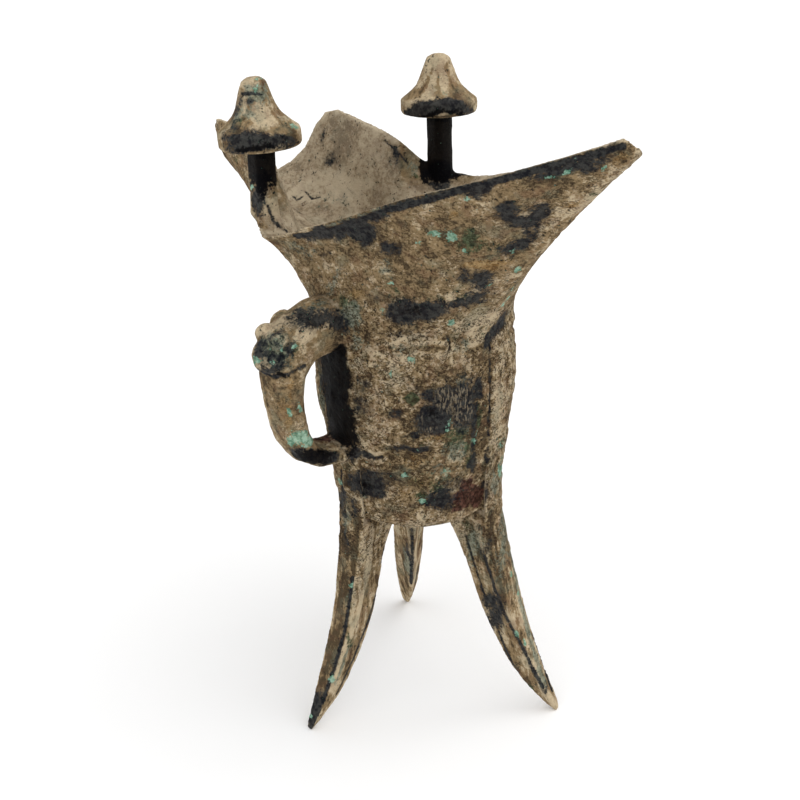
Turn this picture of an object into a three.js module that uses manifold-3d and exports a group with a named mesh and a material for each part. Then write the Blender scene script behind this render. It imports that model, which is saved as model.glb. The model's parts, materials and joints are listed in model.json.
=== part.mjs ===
// Archaic bronze jue, a three-legged cast wine vessel with a pouring spout, a pointed tail, one handle
// and two capped posts. Millimetres, +Z up, tail towards +X, spout towards -X, handle towards -Y.
// The vessel was cast in one pour, so it is one solid: a thin hollow shell with everything else grown on it.

import * as THREE from "three";
import { mergeVertices } from "three/addons/utils/BufferGeometryUtils.js";
import Module from "manifold-3d";

const wasm = await Module();
wasm.setup();

// Driving dimensions of the cup.
const legHeight = 67.4; // floor to the line where the three legs meet
const cupLift = 2.2; // from there to the underside of the cup
const bodyHeight = 64.7; // underside of the cup to the neck, where the flare starts
const bodyRadius = 30.1;
const waistRadius = 24.9; // the narrow foot of the cup, just above its rounded bottom
const wall = 2.6;
const rimWall = 1.9;
const floorWall = 3.4;

// Driving dimensions of the mouth.
const tailReach = 88.4; // axis of the cup to the tip of the tail
const spoutReach = 91; // axis of the cup to the lip of the spout
const mouthHalfWidth = 37.8;
const mouthRise = 62.6; // neck to the highest point of the tail
const spoutSwell = 2.8; // how much further out the near side of the spout stands, on this uneven casting
const mouthDip = 25.7; // neck to the lowest stretch of the rim, where the posts stand

// Driving dimensions of the legs.
const footReach = 48.4; // axis of the cup to the outer face of a foot
const legWidth = 11.6;
const footWidth = 3.2;
// The first leg stands under the handle. The casting is uneven: it is a little slimmer, and two legs stand a
// little further out.
const legs = [
  { azimuth: -90, outset: -1.9, girth: 0.92 },
  { azimuth: 30, outset: 0.6, girth: 1 },
  { azimuth: 150, outset: 0.8, girth: 1 },
];

// Driving dimensions of the handle.
const handleReach = 51.6; // axis of the cup to the outside of the strap
const strapWidth = 14.8;
const strapThickness = 8;
const handleDrop = 37.8; // neck down to the middle of the lower bar

// Driving dimensions of the posts.
const postHeight = 43; // lowest stretch of the rim to the top of the cap
const shaftWidth = 7.5;
const shaftDepth = 6.9;
const capRadius = 12.3;
const capHeight = 20.2;
const capSides = 20;
const postSpread = 32.6; // middle of the vessel to the middle of a shaft
// The two caps came out of the mould a little different: how tall each one is, as a share, and how far it
// leans, in degrees.
const posts = [
  { side: -1, tall: 1, lean: 2.5 },
  { side: 1, tall: 0.92, lean: 0 },
];

// Relief on the cup. The decorated band lies between two bow-string lines, and a third runs below it.
const bandTop = 2.7; // neck down to the upper line
const bandHeight = 29.6;
const lineSpacing = 6; // lower line of the band down to the third line
const lineHalf = 1.1; // half the width of a line
const panelRelief = 0.4;
const bowstringRelief = 0.55;
const lozengeRelief = 0.9;
const lozengeWidth = 4.8;
const lozengeHeight = 4.6;
const lozengeDrop = 17; // neck down to the middle of the lozenge

// How finely the free surfaces are cut into faces.
const around = 56;
const flareRows = 9;
const meshTolerance = 0.02;

const cupBase = legHeight + cupLift;
const neckZ = cupBase + bodyHeight;
const degrees = Math.PI / 180;

// One station of the rim: distance along the length as a share of the tail's or the spout's reach, half width
// as a share of the mouth's, and the height of the near (-Y) and far (+Y) edge above the neck as a share of
// the rise. The casting is a little uneven, so the two edges differ. Then the way the wall arrives at the
// rim: its slope in degrees and how long it keeps that slope, and how long it stays upright above the neck.
const rimStations = [
  { along: 1, out: 0, near: 0.945, far: 0.945, slope: 38, run: 34, lift: 2 },
  { along: 0.985, out: 0.085, near: 0.985, far: 0.936, slope: 39, run: 33, lift: 2 },
  { along: 0.93, out: 0.165, near: 0.97, far: 0.92, slope: 41, run: 30, lift: 3 },
  { along: 0.87, out: 0.24, near: 0.936, far: 0.91, slope: 46, run: 25, lift: 4 },
  { along: 0.787, out: 0.365, near: 0.89, far: 0.878, slope: 50, run: 24, lift: 4 },
  { along: 0.697, out: 0.484, near: 0.843, far: 0.842, slope: 51, run: 21, lift: 4 },
  { along: 0.562, out: 0.643, near: 0.778, far: 0.787, slope: 52, run: 19, lift: 5 },
  { along: 0.404, out: 0.78, near: 0.707, far: 0.738, slope: 52, run: 17, lift: 5 },
  { along: 0.18, out: 0.91, near: 0.578, far: 0.634, slope: 46, run: 14, lift: 6 },
  { along: -0.066, out: 0.987, near: 0.462, far: 0.535, slope: 36, run: 12, lift: 6 },
  { along: -0.22, out: 1.02, near: 0.388, far: 0.497, slope: 30, run: 11, lift: 4 },
  { along: -0.312, out: 0.955, near: 0.414, far: 0.507, slope: 40, run: 11, lift: 5 },
  { along: -0.37, out: 0.81, near: 0.54, far: 0.55, slope: 60, run: 16, lift: 9 },
  { along: -0.418, out: 0.665, near: 0.675, far: 0.655, slope: 72, run: 22, lift: 8 },
  { along: -0.484, out: 0.605, near: 0.738, far: 0.7, slope: 76, run: 26, lift: 7 },
  { along: -0.593, out: 0.583, near: 0.778, far: 0.732, slope: 78, run: 28, lift: 6 },
  { along: -0.725, out: 0.575, near: 0.803, far: 0.762, slope: 79, run: 29, lift: 6 },
  { along: -0.79, out: 0.556, near: 0.8, far: 0.765, slope: 78, run: 29, lift: 5 },
  { along: -0.84, out: 0.513, near: 0.755, far: 0.715, slope: 74, run: 26, lift: 5 },
  { along: -0.882, out: 0.444, near: 0.64, far: 0.58, slope: 62, run: 22, lift: 5 },
  { along: -0.925, out: 0.35, near: 0.53, far: 0.49, slope: 44, run: 22, lift: 5 },
  { along: -0.962, out: 0.238, near: 0.455, far: 0.434, slope: 30, run: 26, lift: 5 },
  { along: -0.99, out: 0.12, near: 0.398, far: 0.398, slope: 22, run: 30, lift: 5 },
  { along: -1, out: 0, near: 0.387, far: 0.387, slope: 19, run: 32, lift: 5 },
];

// Where the posts stand: the station of the rim that lies at this share of the spout's reach.
const postAlong = -0.308;

// Outer profile of the cup: height as a share of the body, radius as a share of the way from waist to body.
const cupProfile = [
  { up: 0, widen: -0.3 },
  { up: 0.07, widen: 0.02 },
  { up: 0.165, widen: 0.08 },
  { up: 0.25, widen: 0.22 },
  { up: 0.355, widen: 0.49 },
  { up: 0.46, widen: 0.72 },
  { up: 0.565, widen: 0.89 },
  { up: 0.68, widen: 0.98 },
  { up: 0.84, widen: 1 },
  { up: 1, widen: 1 },
];

// Linear interpolation in a list of stations, on any of their values.
function sample(stations, key, at, value) {
  const last = stations.length - 1;
  for (let i = 0; i < last; i++) {
    const a = stations[i];
    const b = stations[i + 1];
    const low = Math.min(a[key], b[key]);
    const high = Math.max(a[key], b[key]);
    if (at >= low && at <= high) {
      const share = high === low ? 0 : (at - a[key]) / (b[key] - a[key]);
      return a[value] + (b[value] - a[value]) * share;
    }
  }
  const ascending = stations[last][key] > stations[0][key];
  return at > stations[last][key] === ascending ? stations[last][value] : stations[0][value];
}

const mix = (a, b, share) => a + (b - a) * share;

const onCircle = (radius, azimuth, z) =>
  new THREE.Vector3(radius * Math.cos(azimuth), radius * Math.sin(azimuth), z);

function smoothstep(low, high, x) {
  const share = Math.min(1, Math.max(0, (x - low) / (high - low)));
  return share * share * (3 - 2 * share);
}

// Radius of the plain cup at a height.
function cupRadius(z) {
  const up = (z - cupBase) / bodyHeight;
  return mix(waistRadius, bodyRadius, sample(cupProfile, "up", up, "widen"));
}

// Turns vertex and triangle lists into a manifold solid.
function solidFromLists(vertices, triangles) {
  return new wasm.Manifold(
    new wasm.Mesh({
      numProp: 3,
      vertProperties: new Float32Array(vertices),
      triVerts: new Uint32Array(triangles),
    }),
  );
}

// Turns a closed three.js geometry into a manifold solid.
function solidFromGeometry(geometry) {
  const bare = geometry.clone();
  for (const name of Object.keys(bare.attributes)) {
    if (name !== "position") bare.deleteAttribute(name);
  }
  const merged = mergeVertices(bare, 1e-4);
  return solidFromLists(merged.attributes.position.array, merged.index.array);
}

// Closes a stack of rings, all with as many points, with a point or a fan at each end.
function solidFromRings(rings, firstPole, lastPole) {
  const count = rings[0].length;
  const vertices = [];
  for (const ring of rings) {
    for (const point of ring) vertices.push(point.x, point.y, point.z);
  }
  const firstIndex = rings.length * count;
  vertices.push(firstPole.x, firstPole.y, firstPole.z, lastPole.x, lastPole.y, lastPole.z);
  const triangles = [];
  for (let i = 0; i < count; i++) {
    const next = (i + 1) % count;
    triangles.push(firstIndex, next, i);
    for (let k = 0; k < rings.length - 1; k++) {
      const low = k * count;
      const high = low + count;
      triangles.push(low + i, low + next, high + i);
      triangles.push(low + next, high + next, high + i);
    }
    const top = (rings.length - 1) * count;
    triangles.push(top + i, top + next, firstIndex + 1);
  }
  return solidFromLists(vertices, triangles);
}

const averagePoint = (ring) =>
  ring.reduce((sum, point) => sum.add(point), new THREE.Vector3()).divideScalar(ring.length);

// The rim in space, anticlockwise from the tip of the tail: the far edge to the lip, then the near edge back.
function rimPoint(station, side) {
  const along = station.along * (station.along > 0 ? tailReach : spoutReach);
  const height = side > 0 ? station.far : station.near;
  const onSpout = smoothstep(-0.4, -0.66, station.along) * smoothstep(-1, -0.86, station.along);
  const swell = side > 0 ? 0 : spoutSwell * onSpout;
  return new THREE.Vector3(along, side * (station.out * mouthHalfWidth + swell), neckZ + height * mouthRise);
}

const farStations = rimStations;
const nearStations = rimStations.slice(1, -1).reverse();
const rimLoop = [...farStations, ...nearStations];
const rimCurve = new THREE.CatmullRomCurve3(
  [
    ...farStations.map((station) => rimPoint(station, 1)),
    ...nearStations.map((station) => rimPoint(station, -1)),
  ],
  true,
  "centripetal",
);

// Positions on the rim, half by station and half by length, so that its corners and its long sides both get
// enough of them.
const rimParameters = (() => {
  const steps = 1200;
  const lengths = rimCurve.getLengths(steps);
  const total = lengths[steps];
  const found = [];
  let step = 0;
  for (let i = 0; i < around; i++) {
    const wanted = i / around;
    while (0.5 * (step / steps) + 0.5 * (lengths[step] / total) < wanted) step++;
    found.push(step / steps);
  }
  return found;
})();

// One meridian of the flare, from the neck to the rim. It arrives square to the rim, but along the tail it
// turns towards the axis, so that the meridians don't cross at the keel.
const turnsRadial = { from: -0.1, to: 0.35 };
const meridians = rimParameters.map((parameter, index) => {
  const end = rimCurve.getPoint(parameter);
  const tangent = rimCurve.getTangent(parameter);
  const outward = new THREE.Vector3(tangent.y, -tangent.x, 0).normalize();
  const place = parameter * rimLoop.length;
  const from = rimLoop[Math.floor(place) % rimLoop.length];
  const to = rimLoop[Math.ceil(place) % rimLoop.length];
  const share = place - Math.floor(place);
  const radial = new THREE.Vector3(end.x, end.y, 0).normalize();
  outward.lerp(radial, smoothstep(turnsRadial.from, turnsRadial.to, end.x / tailReach)).normalize();
  const slope = mix(from.slope, to.slope, share) * degrees;
  const run = mix(from.run, to.run, share);
  const lift = mix(from.lift, to.lift, share);
  const turn = Math.atan2(end.y, end.x);
  const direction = index === 0 ? 0 : (turn + 2 * Math.PI) % (2 * Math.PI);
  const azimuth = mix(direction, (2 * Math.PI * index) / around, 0.5);
  const start = onCircle(bodyRadius, azimuth, neckZ);
  const rise = new THREE.Vector3(0, 0, lift).add(start);
  const arrive = end
    .clone()
    .addScaledVector(outward, -run * Math.cos(slope))
    .add(new THREE.Vector3(0, 0, -run * Math.sin(slope)));
  return { azimuth, curve: new THREE.CubicBezierCurve3(start, rise, arrive, end) };
});

// The decorated panels stand between the plain strips that run up from the legs.
const plainStrips = [
  { middle: -90, half: 14 },
  { middle: 30, half: 24 },
  { middle: 150, half: 24 },
];
const bandHigh = neckZ - bandTop;
const bandLow = bandHigh - bandHeight;
const bowstrings = [bandLow - lineSpacing, bandLow, bandHigh];

function panelShare(azimuth) {
  let share = 1;
  for (const strip of plainStrips) {
    const away = Math.abs((((azimuth / degrees - strip.middle + 180) % 360) + 360) % 360 - 180);
    share = Math.min(share, smoothstep(strip.half - 2, strip.half + 4, away));
  }
  return share;
}

function cupRelief(azimuth, z) {
  const inBand = z > bandLow + 0.1 && z < bandHigh - 0.1 ? 1 : 0;
  const onString = bowstrings.some((height) => Math.abs(height - z) < 0.01) ? 1 : 0;
  return panelRelief * inBand * panelShare(azimuth) + bowstringRelief * onString;
}

function cupRing(z, relieved) {
  return meridians.map(({ azimuth }) => {
    const radius = cupRadius(z) + (relieved ? cupRelief(azimuth, z) : 0);
    return onCircle(radius, azimuth, z);
  });
}

// Heights of the rings of the cup: a few where its profile bends, and three at each bow-string line.
const profileRings = [0.07, 0.165, 0.25, 0.323, 0.601, 0.702, 0.81].map((up) => cupBase + up * bodyHeight);
const lineRings = bowstrings.flatMap((z) => [z - lineHalf, z, z + lineHalf]);
const cupHeights = [...profileRings, ...lineRings].sort((a, b) => a - b);

// A level ring with a point on each meridian.
const levelRing = (radius, z) =>
  meridians.map(({ azimuth }) => onCircle(radius, azimuth, z));

// The rounded bottom: radius as a share of the waist, height as a share of the way up to the waist.
const bottomRise = 3.4;
const bottomRings = [
  { share: 0.66, up: 0.06 },
  { share: 0.87, up: 0.41 },
  { share: 0.97, up: 1 },
].map(({ share, up }) => levelRing(waistRadius * share, cupBase + up * bottomRise));

// Rings of the flare, from the neck to the rim.
const flareRings = [];
for (let k = 0; k <= flareRows; k++) {
  flareRings.push(meridians.map(({ curve }) => curve.getPoint(k / flareRows)));
}

// Unit normals of the flare, from the differences between neighbouring points.
function flareNormals(k) {
  const below = flareRings[Math.max(0, k - 1)];
  const above = flareRings[Math.min(flareRows, k + 1)];
  return flareRings[k].map((_, i) => {
    const next = flareRings[k][(i + 1) % around];
    const previous = flareRings[k][(i + around - 1) % around];
    return next.clone().sub(previous).cross(above[i].clone().sub(below[i])).normalize();
  });
}

// The flare moved inwards by a share of its own wall, which thins towards the rim. Close to the keel of the
// tail, where the two sides nearly meet, it moves upwards instead.
const keelHalf = 8;
function innerFlareRing(k, share) {
  const thickness = mix(wall, rimWall, k / flareRows) * share;
  const normals = flareNormals(k);
  if (k === flareRows) {
    for (const normal of normals) normal.setZ(0).normalize();
  }
  return flareRings[k].map((point, i) => {
    const normal = normals[i];
    const beyondCup = smoothstep(bodyRadius, bodyRadius + keelHalf, point.x);
    const narrow = smoothstep(keelHalf, 0, Math.abs(point.y)) * beyondCup;
    const inward = normal.clone().negate().lerp(new THREE.Vector3(0, 0, 1), narrow).normalize();
    const lean = k === flareRows ? 1 : Math.max(0.6, -inward.dot(normal));
    return point.clone().addScaledVector(inward, thickness / lean);
  });
}

// Rings of the inside of the cup, from the neck down, by their share of its height.
const innerHeights = [0.903, 0.594, 0.346, 0.192, 0.114].map((up) => cupBase + up * bodyHeight);
const innerCupRings = (share) => innerHeights.map((z) => levelRing(cupRadius(z) - wall * share, z));

// The inside of the bottom: a flat floor with a rounded edge.
const floorShare = 0.62;
const floorRound = 2;
function innerFloorRings(share) {
  const floor = cupBase + floorWall * share;
  return [
    levelRing(waistRadius - wall * share - floorRound * 0.6, floor + floorRound),
    levelRing(waistRadius * floorShare, floor),
  ];
}

// The hollow shell of the cup: up the outside, over the rim and down the inside.
function makeShell() {
  const rings = [...bottomRings, ...cupHeights.map((z) => cupRing(z, true)), ...flareRings];
  for (let k = flareRows; k >= 1; k -= 2) rings.push(innerFlareRing(k, 1));
  rings.push(...innerCupRings(1), ...innerFloorRings(1));
  return solidFromRings(
    rings,
    new THREE.Vector3(0, 0, cupBase),
    new THREE.Vector3(0, 0, cupBase + floorWall),
  );
}

// The inside of the cup out to the middle of its wall: legs and handle stop there, so the cup stays empty.
function makeHollow() {
  const half = 0.5;
  const rings = [...innerFloorRings(half).reverse(), ...innerCupRings(half).reverse()];
  for (let k = 1; k <= flareRows; k += 2) rings.push(innerFlareRing(k, half));
  return solidFromRings(
    rings,
    new THREE.Vector3(0, 0, cupBase + floorWall * half),
    new THREE.Vector3(0, 0, neckZ + mouthRise),
  );
}

// A leg is a blade of triangular section that curves outwards to its foot: a broad outer face with a groove
// inside each edge, two hollowed flanks and an inner ridge. Heights are shares of the leg's height, outer
// places shares of the way from the waist to the foot, depths and widths shares of the leg's width. Above the
// underside of the cup it goes on as a plain strip that wraps round the wall.
const legStations = [
  { up: 0, spread: 0.99, depth: 0.21, width: 0 },
  { up: 0.022, spread: 0.97, depth: 0.38, width: 0.08 },
  { up: 0.06, spread: 0.925, depth: 0.55, width: 0.2 },
  { up: 0.12, spread: 0.835, depth: 0.73, width: 0.37 },
  { up: 0.193, spread: 0.735, depth: 0.86, width: 0.56 },
  { up: 0.283, spread: 0.63, depth: 0.96, width: 0.7 },
  { up: 0.387, spread: 0.515, depth: 1.06, width: 0.82 },
  { up: 0.508, spread: 0.405, depth: 1.13, width: 0.92 },
  { up: 0.63, spread: 0.315, depth: 1.18, width: 0.99 },
  { up: 0.747, spread: 0.235, depth: 1.22, width: 1.06 },
  { up: 0.85, spread: 0.175, depth: 1.3, width: 1.13 },
  { up: 0.93, spread: 0.14, depth: 1.45, width: 1.2 },
  { up: 1.0, spread: 0.11, depth: 1.62, width: 1.28 },
  { up: 1.06, spread: 0.09, depth: 0.9, width: 1.4 },
  { up: 1.15, spread: 0.09, depth: 0.3, width: 1.6 },
  { up: 1.27, spread: 0.115, depth: 0.22, width: 1.75 },
  { up: 1.42, spread: 0.175, depth: 0.2, width: 1.85 },
  { up: 1.56, spread: 0.23, depth: 0.2, width: 1.9 },
  { up: 1.69, spread: 0.25, depth: 0.2, width: 1.92 },
  { up: 1.9, spread: 0.252, depth: 0.2, width: 1.92 },
];

// Section of a leg at unit width and depth: across is towards the azimuth, deep is towards the axis.
const legSection = [
  { across: -0.06, deep: 1 },
  { across: -0.3, deep: 0.42 },
  { across: -0.37, deep: 0.37 },
  { across: -0.5, deep: 0.03 },
  { across: -0.42, deep: -0.01 },
  { across: -0.36, deep: 0.05 },
  { across: -0.3, deep: -0.02 },
  { across: 0, deep: -0.035 },
  { across: 0.3, deep: -0.02 },
  { across: 0.36, deep: 0.05 },
  { across: 0.42, deep: -0.01 },
  { across: 0.5, deep: 0.03 },
  { across: 0.37, deep: 0.37 },
  { across: 0.3, deep: 0.42 },
  { across: 0.06, deep: 1 },
];

const outsetFades = { from: 0.45, to: 1.2 };
const wrapStarts = { from: 0.75, to: 1.2 };

function makeLeg({ azimuth, outset, girth }) {
  const turn = azimuth * degrees;
  const rings = legStations.map(({ up, spread, depth, width }) => {
    const faded = outset * smoothstep(outsetFades.to, outsetFades.from, up);
    const outer = mix(waistRadius, footReach, spread) + faded;
    const across = mix(footWidth, legWidth, width) * girth;
    const wrap = smoothstep(wrapStarts.from, wrapStarts.to, up);
    return legSection.map((corner) => {
      const radial = outer - corner.deep * depth * legWidth;
      const side = corner.across * across * (1 - wrap);
      const turned = turn + (corner.across * across * wrap) / outer;
      return new THREE.Vector3(
        radial * Math.cos(turned) - side * Math.sin(turned),
        radial * Math.sin(turned) + side * Math.cos(turned),
        up * legHeight,
      );
    });
  });
  return solidFromRings(rings, averagePoint(rings[0]), averagePoint(rings[rings.length - 1]));
}

// The handle is a strap that leaves the neck under an animal head, drops, and returns to the cup as a bar.
// Its line is given as shares: out from the cup's wall to the strap's outside, and down from the neck to the
// lower bar. Thick is the half thickness in the plane of the handle, as a share of the strap's thickness.
const handleStations = [
  { out: -0.2, down: -0.05, thick: 1.1, wide: 0.5 },
  { out: 0.22, down: -0.05, thick: 1.05, wide: 0.49 },
  { out: 0.52, down: 0.01, thick: 1, wide: 0.49 },
  { out: 0.7, down: 0.14, thick: 0.84, wide: 0.54 },
  { out: 0.765, down: 0.25, thick: 0.68, wide: 0.54 },
  { out: 0.775, down: 0.38, thick: 0.58, wide: 0.53 },
  { out: 0.765, down: 0.52, thick: 0.54, wide: 0.5 },
  { out: 0.735, down: 0.66, thick: 0.52, wide: 0.49 },
  { out: 0.67, down: 0.8, thick: 0.5, wide: 0.49 },
  { out: 0.555, down: 0.915, thick: 0.46, wide: 0.49 },
  { out: 0.37, down: 0.985, thick: 0.41, wide: 0.49 },
  { out: 0.12, down: 1, thick: 0.39, wide: 0.49 },
  { out: -0.14, down: 1, thick: 0.39, wide: 0.5 },
];

function handlePoint(out, down) {
  return new THREE.Vector3(0, -mix(bodyRadius, handleReach, out), neckZ - down * handleDrop);
}

function makeStrap() {
  const line = handleStations.map(({ out, down }) => handlePoint(out, down));
  const corners = 10;
  const rings = handleStations.map(({ thick, wide }, k) => {
    const before = line[Math.max(0, k - 1)];
    const after = line[Math.min(line.length - 1, k + 1)];
    const ahead = after.clone().sub(before).normalize();
    const acrossPlane = new THREE.Vector3(1, 0, 0);
    const inPlane = ahead.clone().cross(acrossPlane);
    return Array.from({ length: corners }, (_, i) => {
      const turn = ((i + 0.5) / corners) * 2 * Math.PI;
      const squareness = 0.72;
      const side = Math.sign(Math.cos(turn)) * Math.abs(Math.cos(turn)) ** squareness;
      const rise = Math.sign(Math.sin(turn)) * Math.abs(Math.sin(turn)) ** squareness;
      return line[k]
        .clone()
        .addScaledVector(acrossPlane, side * wide * strapWidth)
        .addScaledVector(inPlane, rise * thick * strapThickness);
    });
  });
  return solidFromRings(rings, line[0], line[line.length - 1]);
}

// An ellipsoid, turned about the X axis.
function ellipsoid(centre, radii, pitch, columns = 12, rows = 8) {
  const geometry = new THREE.SphereGeometry(1, columns, rows);
  geometry.scale(radii.x, radii.y, radii.z);
  geometry.rotateX(pitch * degrees);
  geometry.translate(centre.x, centre.y, centre.z);
  return solidFromGeometry(geometry);
}

// The worn animal head on the handle: skull, muzzle, two brows and two ears, all shares of the strap's width.
function makeHead() {
  const unit = strapWidth * 0.8;
  const place = (x, out, down) => handlePoint(out, down + 0.025).setX(x * unit);
  const size = (x, y, z) => new THREE.Vector3(x * unit, y * unit, z * unit);
  const parts = [
    ellipsoid(place(0, 0.7, -0.02), size(0.62, 0.62, 0.52), 25),
    ellipsoid(place(0, 0.93, 0.08), size(0.56, 0.38, 0.46), 20),
  ];
  for (const side of [-1, 1]) {
    parts.push(ellipsoid(place(side * 0.34, 0.87, -0.085), size(0.24, 0.26, 0.22), 20, 10, 6));
    parts.push(ellipsoid(place(side * 0.56, 0.56, -0.12), size(0.2, 0.34, 0.26), 35, 10, 6));
  }
  return parts;
}

// A post: a flat shaft on the inside of the rim, a root that runs down the wall, and a conical cap.
const capProfile = [
  { out: 0.3, up: 0.02 },
  { out: 0.93, up: 0.015 },
  { out: 1, up: 0.055 },
  { out: 1, up: 0.26 },
  { out: 0.83, up: 0.34 },
  { out: 0.6, up: 0.475 },
  { out: 0.5, up: 0.585 },
  { out: 0.43, up: 0.7 },
  { out: 0.35, up: 0.85 },
  { out: 0.3, up: 0.94 },
  { out: 0.15, up: 1 },
];

function shaftRing(centre, size) {
  const cut = 0.5;
  const outline = [
    [-1, -1 + cut],
    [-1 + cut * 0.6, -1],
    [1 - cut * 0.6, -1],
    [1, -1 + cut],
    [1, 1 - cut],
    [1 - cut * 0.6, 1],
    [-1 + cut * 0.6, 1],
    [-1, 1 - cut],
  ];
  return outline.map(([u, v]) =>
    new THREE.Vector3((u * shaftWidth * size) / 2, (v * shaftDepth * size) / 2, 0).add(centre),
  );
}

function makePost({ side, tall, lean }) {
  const x = postAlong * spoutReach;
  const rimZ = neckZ + mouthDip;
  const height = capHeight * tall;
  const capZ = rimZ + postHeight - height;
  const rings = [
    { share: 0.84, z: rimZ - 10.5, size: 0.3 },
    { share: 0.92, z: rimZ - 3, size: 0.85 },
    { share: 1, z: rimZ + 3, size: 1.06 },
    { share: 1, z: rimZ + 8, size: 1 },
    { share: 1, z: capZ + 1.5, size: 1 },
  ].map(({ share, z, size }) =>
    shaftRing(new THREE.Vector3(x * share, side * postSpread * share, z), size),
  );
  const shaft = solidFromRings(rings, averagePoint(rings[0]), averagePoint(rings[rings.length - 1]));
  const outline = [new THREE.Vector2(0, 0)];
  for (const { out, up } of capProfile) outline.push(new THREE.Vector2(out * capRadius, up * height));
  outline.push(new THREE.Vector2(0, height));
  const cap = new THREE.LatheGeometry(outline, capSides);
  cap.rotateX(Math.PI / 2 + lean * degrees);
  cap.translate(x, side * postSpread, capZ);
  return [shaft, solidFromGeometry(cap)];
}

// On the forehead of each panel's worn mask stands a small lozenge.
const panelMiddles = [-38, 90, 218];

function makeLozenge(azimuth) {
  const corners = 4;
  const ring = (proud, scale) =>
    Array.from({ length: corners }, (_, i) => {
      const turn = (i / corners) * 2 * Math.PI;
      const z = neckZ - lozengeDrop + (Math.sin(turn) * lozengeHeight * scale) / 2;
      const radius = cupRadius(z) + panelRelief + proud;
      const turned = azimuth * degrees + (Math.cos(turn) * lozengeWidth * scale) / 2 / radius;
      return onCircle(radius, turned, z);
    });
  const rings = [ring(-wall / 2, 1), ring(0.1, 1), ring(lozengeRelief, 0.55)];
  return solidFromRings(rings, averagePoint(rings[0]), averagePoint(rings[2]));
}

const shell = makeShell();
const hollow = makeHollow();
let vessel = shell;
for (const leg of legs) vessel = vessel.add(makeLeg(leg).subtract(hollow));
vessel = vessel.add(makeStrap().subtract(hollow));
for (const part of makeHead()) vessel = vessel.add(part.subtract(hollow));
for (const post of posts) {
  for (const part of makePost(post)) vessel = vessel.add(part);
}
for (const middle of panelMiddles) vessel = vessel.add(makeLozenge(middle));

// The strips leave small sealed pockets over the lines they cross: only the outer body is kept.
vessel = vessel.decompose().sort((a, b) => b.volume() - a.volume())[0];
vessel = vessel.simplify(meshTolerance);

// The model's origin lies on the floor, under the middle of its bounding box.
const made = vessel.getMesh();
const geometry = new THREE.BufferGeometry();
geometry.setAttribute("position", new THREE.BufferAttribute(made.vertProperties, 3));
geometry.setIndex(new THREE.BufferAttribute(made.triVerts, 1));
geometry.computeBoundingBox();
const { min, max } = geometry.boundingBox;
geometry.translate(-(min.x + max.x) / 2, -(min.y + max.y) / 2, -min.z);
geometry.computeVertexNormals();

const bronze = new THREE.MeshStandardMaterial({ color: 0x8d7a5e, roughness: 0.85, metalness: 0.35 });
const jue = new THREE.Mesh(geometry, bronze);
jue.name = "jue";

const root = new THREE.Group();
root.add(jue);
export default root;
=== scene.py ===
"""Looks of the archaic bronze jue: its worn and crusted surface, its patina, the studio and the camera."""

import json
import math

import bpy
import numpy as np
from mathutils import Matrix, Vector
from mathutils.bvhtree import BVHTree


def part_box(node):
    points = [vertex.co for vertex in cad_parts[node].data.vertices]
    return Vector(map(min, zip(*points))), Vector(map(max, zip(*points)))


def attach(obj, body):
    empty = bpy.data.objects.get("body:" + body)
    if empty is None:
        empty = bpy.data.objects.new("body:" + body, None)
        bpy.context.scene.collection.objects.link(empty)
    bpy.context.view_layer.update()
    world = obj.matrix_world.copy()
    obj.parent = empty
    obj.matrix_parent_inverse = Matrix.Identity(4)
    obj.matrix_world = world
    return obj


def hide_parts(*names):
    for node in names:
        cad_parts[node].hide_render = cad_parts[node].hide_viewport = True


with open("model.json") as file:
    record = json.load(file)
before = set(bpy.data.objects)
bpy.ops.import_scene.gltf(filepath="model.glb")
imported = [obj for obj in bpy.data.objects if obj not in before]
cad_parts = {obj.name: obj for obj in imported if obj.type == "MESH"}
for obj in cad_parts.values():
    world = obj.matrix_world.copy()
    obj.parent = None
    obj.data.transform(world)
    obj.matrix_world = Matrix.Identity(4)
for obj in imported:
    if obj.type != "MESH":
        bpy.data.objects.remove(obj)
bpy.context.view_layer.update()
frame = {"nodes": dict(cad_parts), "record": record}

MM = 0.001
NODE = "jue"
cad = frame["nodes"][NODE]

# The middle line of the cup is the middle of the space for the wine.
hollows = {opening["name"]: opening["box_m"] for opening in frame["record"]["physics"]["openings"]}
AXIS = (Vector(hollows["cup_lower"][0]) + Vector(hollows["cup_lower"][1])) / 2
AXIS.z = 0

# Parts of the vessel, in millimetres from the middle line and the floor.
CUP_BASE = 69.6
NECK = 134.3
BODY_RADIUS = 30.5
POST_X = -28
POST_Y = 32.6
POST_LOW = 160
SHAFT_REACH = 7
NEAR_SHAFT_LOW = 172
FAR_SHAFT_LOW = 162
CAP_LOW = 183
CAP_REACH = 13.5
HANDLE_ROOT = -30.8
HANDLE_HALF_WIDTH = 10
HANDLE_LOW = 84
HANDLE_HIGH = 150

# Ornament on the cup: the middle of each panel in degrees, its lozenge, and the fine teeth beside that.
PANEL_MIDDLES = (-38, 90, 218)
LOZENGE_HEIGHT = 117.3
LOZENGE_HALF = 2.4
COMB_AWAY = 22
COMB_HALF_ANGLE = 12
COMB_LOW = 103
COMB_HIGH = 124
TOOTH_PITCH = 1.3
TOOTH_LEAN = 0.22
TOOTH_LEVEL = 113

# The camera of the photograph, which is 800 by 800. Angles are in degrees.
PHOTO_SIZE = 800
CAMERA_PLACE = Vector((277.0, -201.9, 250.9)) * MM + AXIS
CAMERA_HEADING = 54.71
CAMERA_DOWN = 23.21
CAMERA_ROLL = -1.76
CAMERA_LENS = 53.88
SENSOR = 36.0
FOCAL = PHOTO_SIZE * CAMERA_LENS / SENSOR


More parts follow.
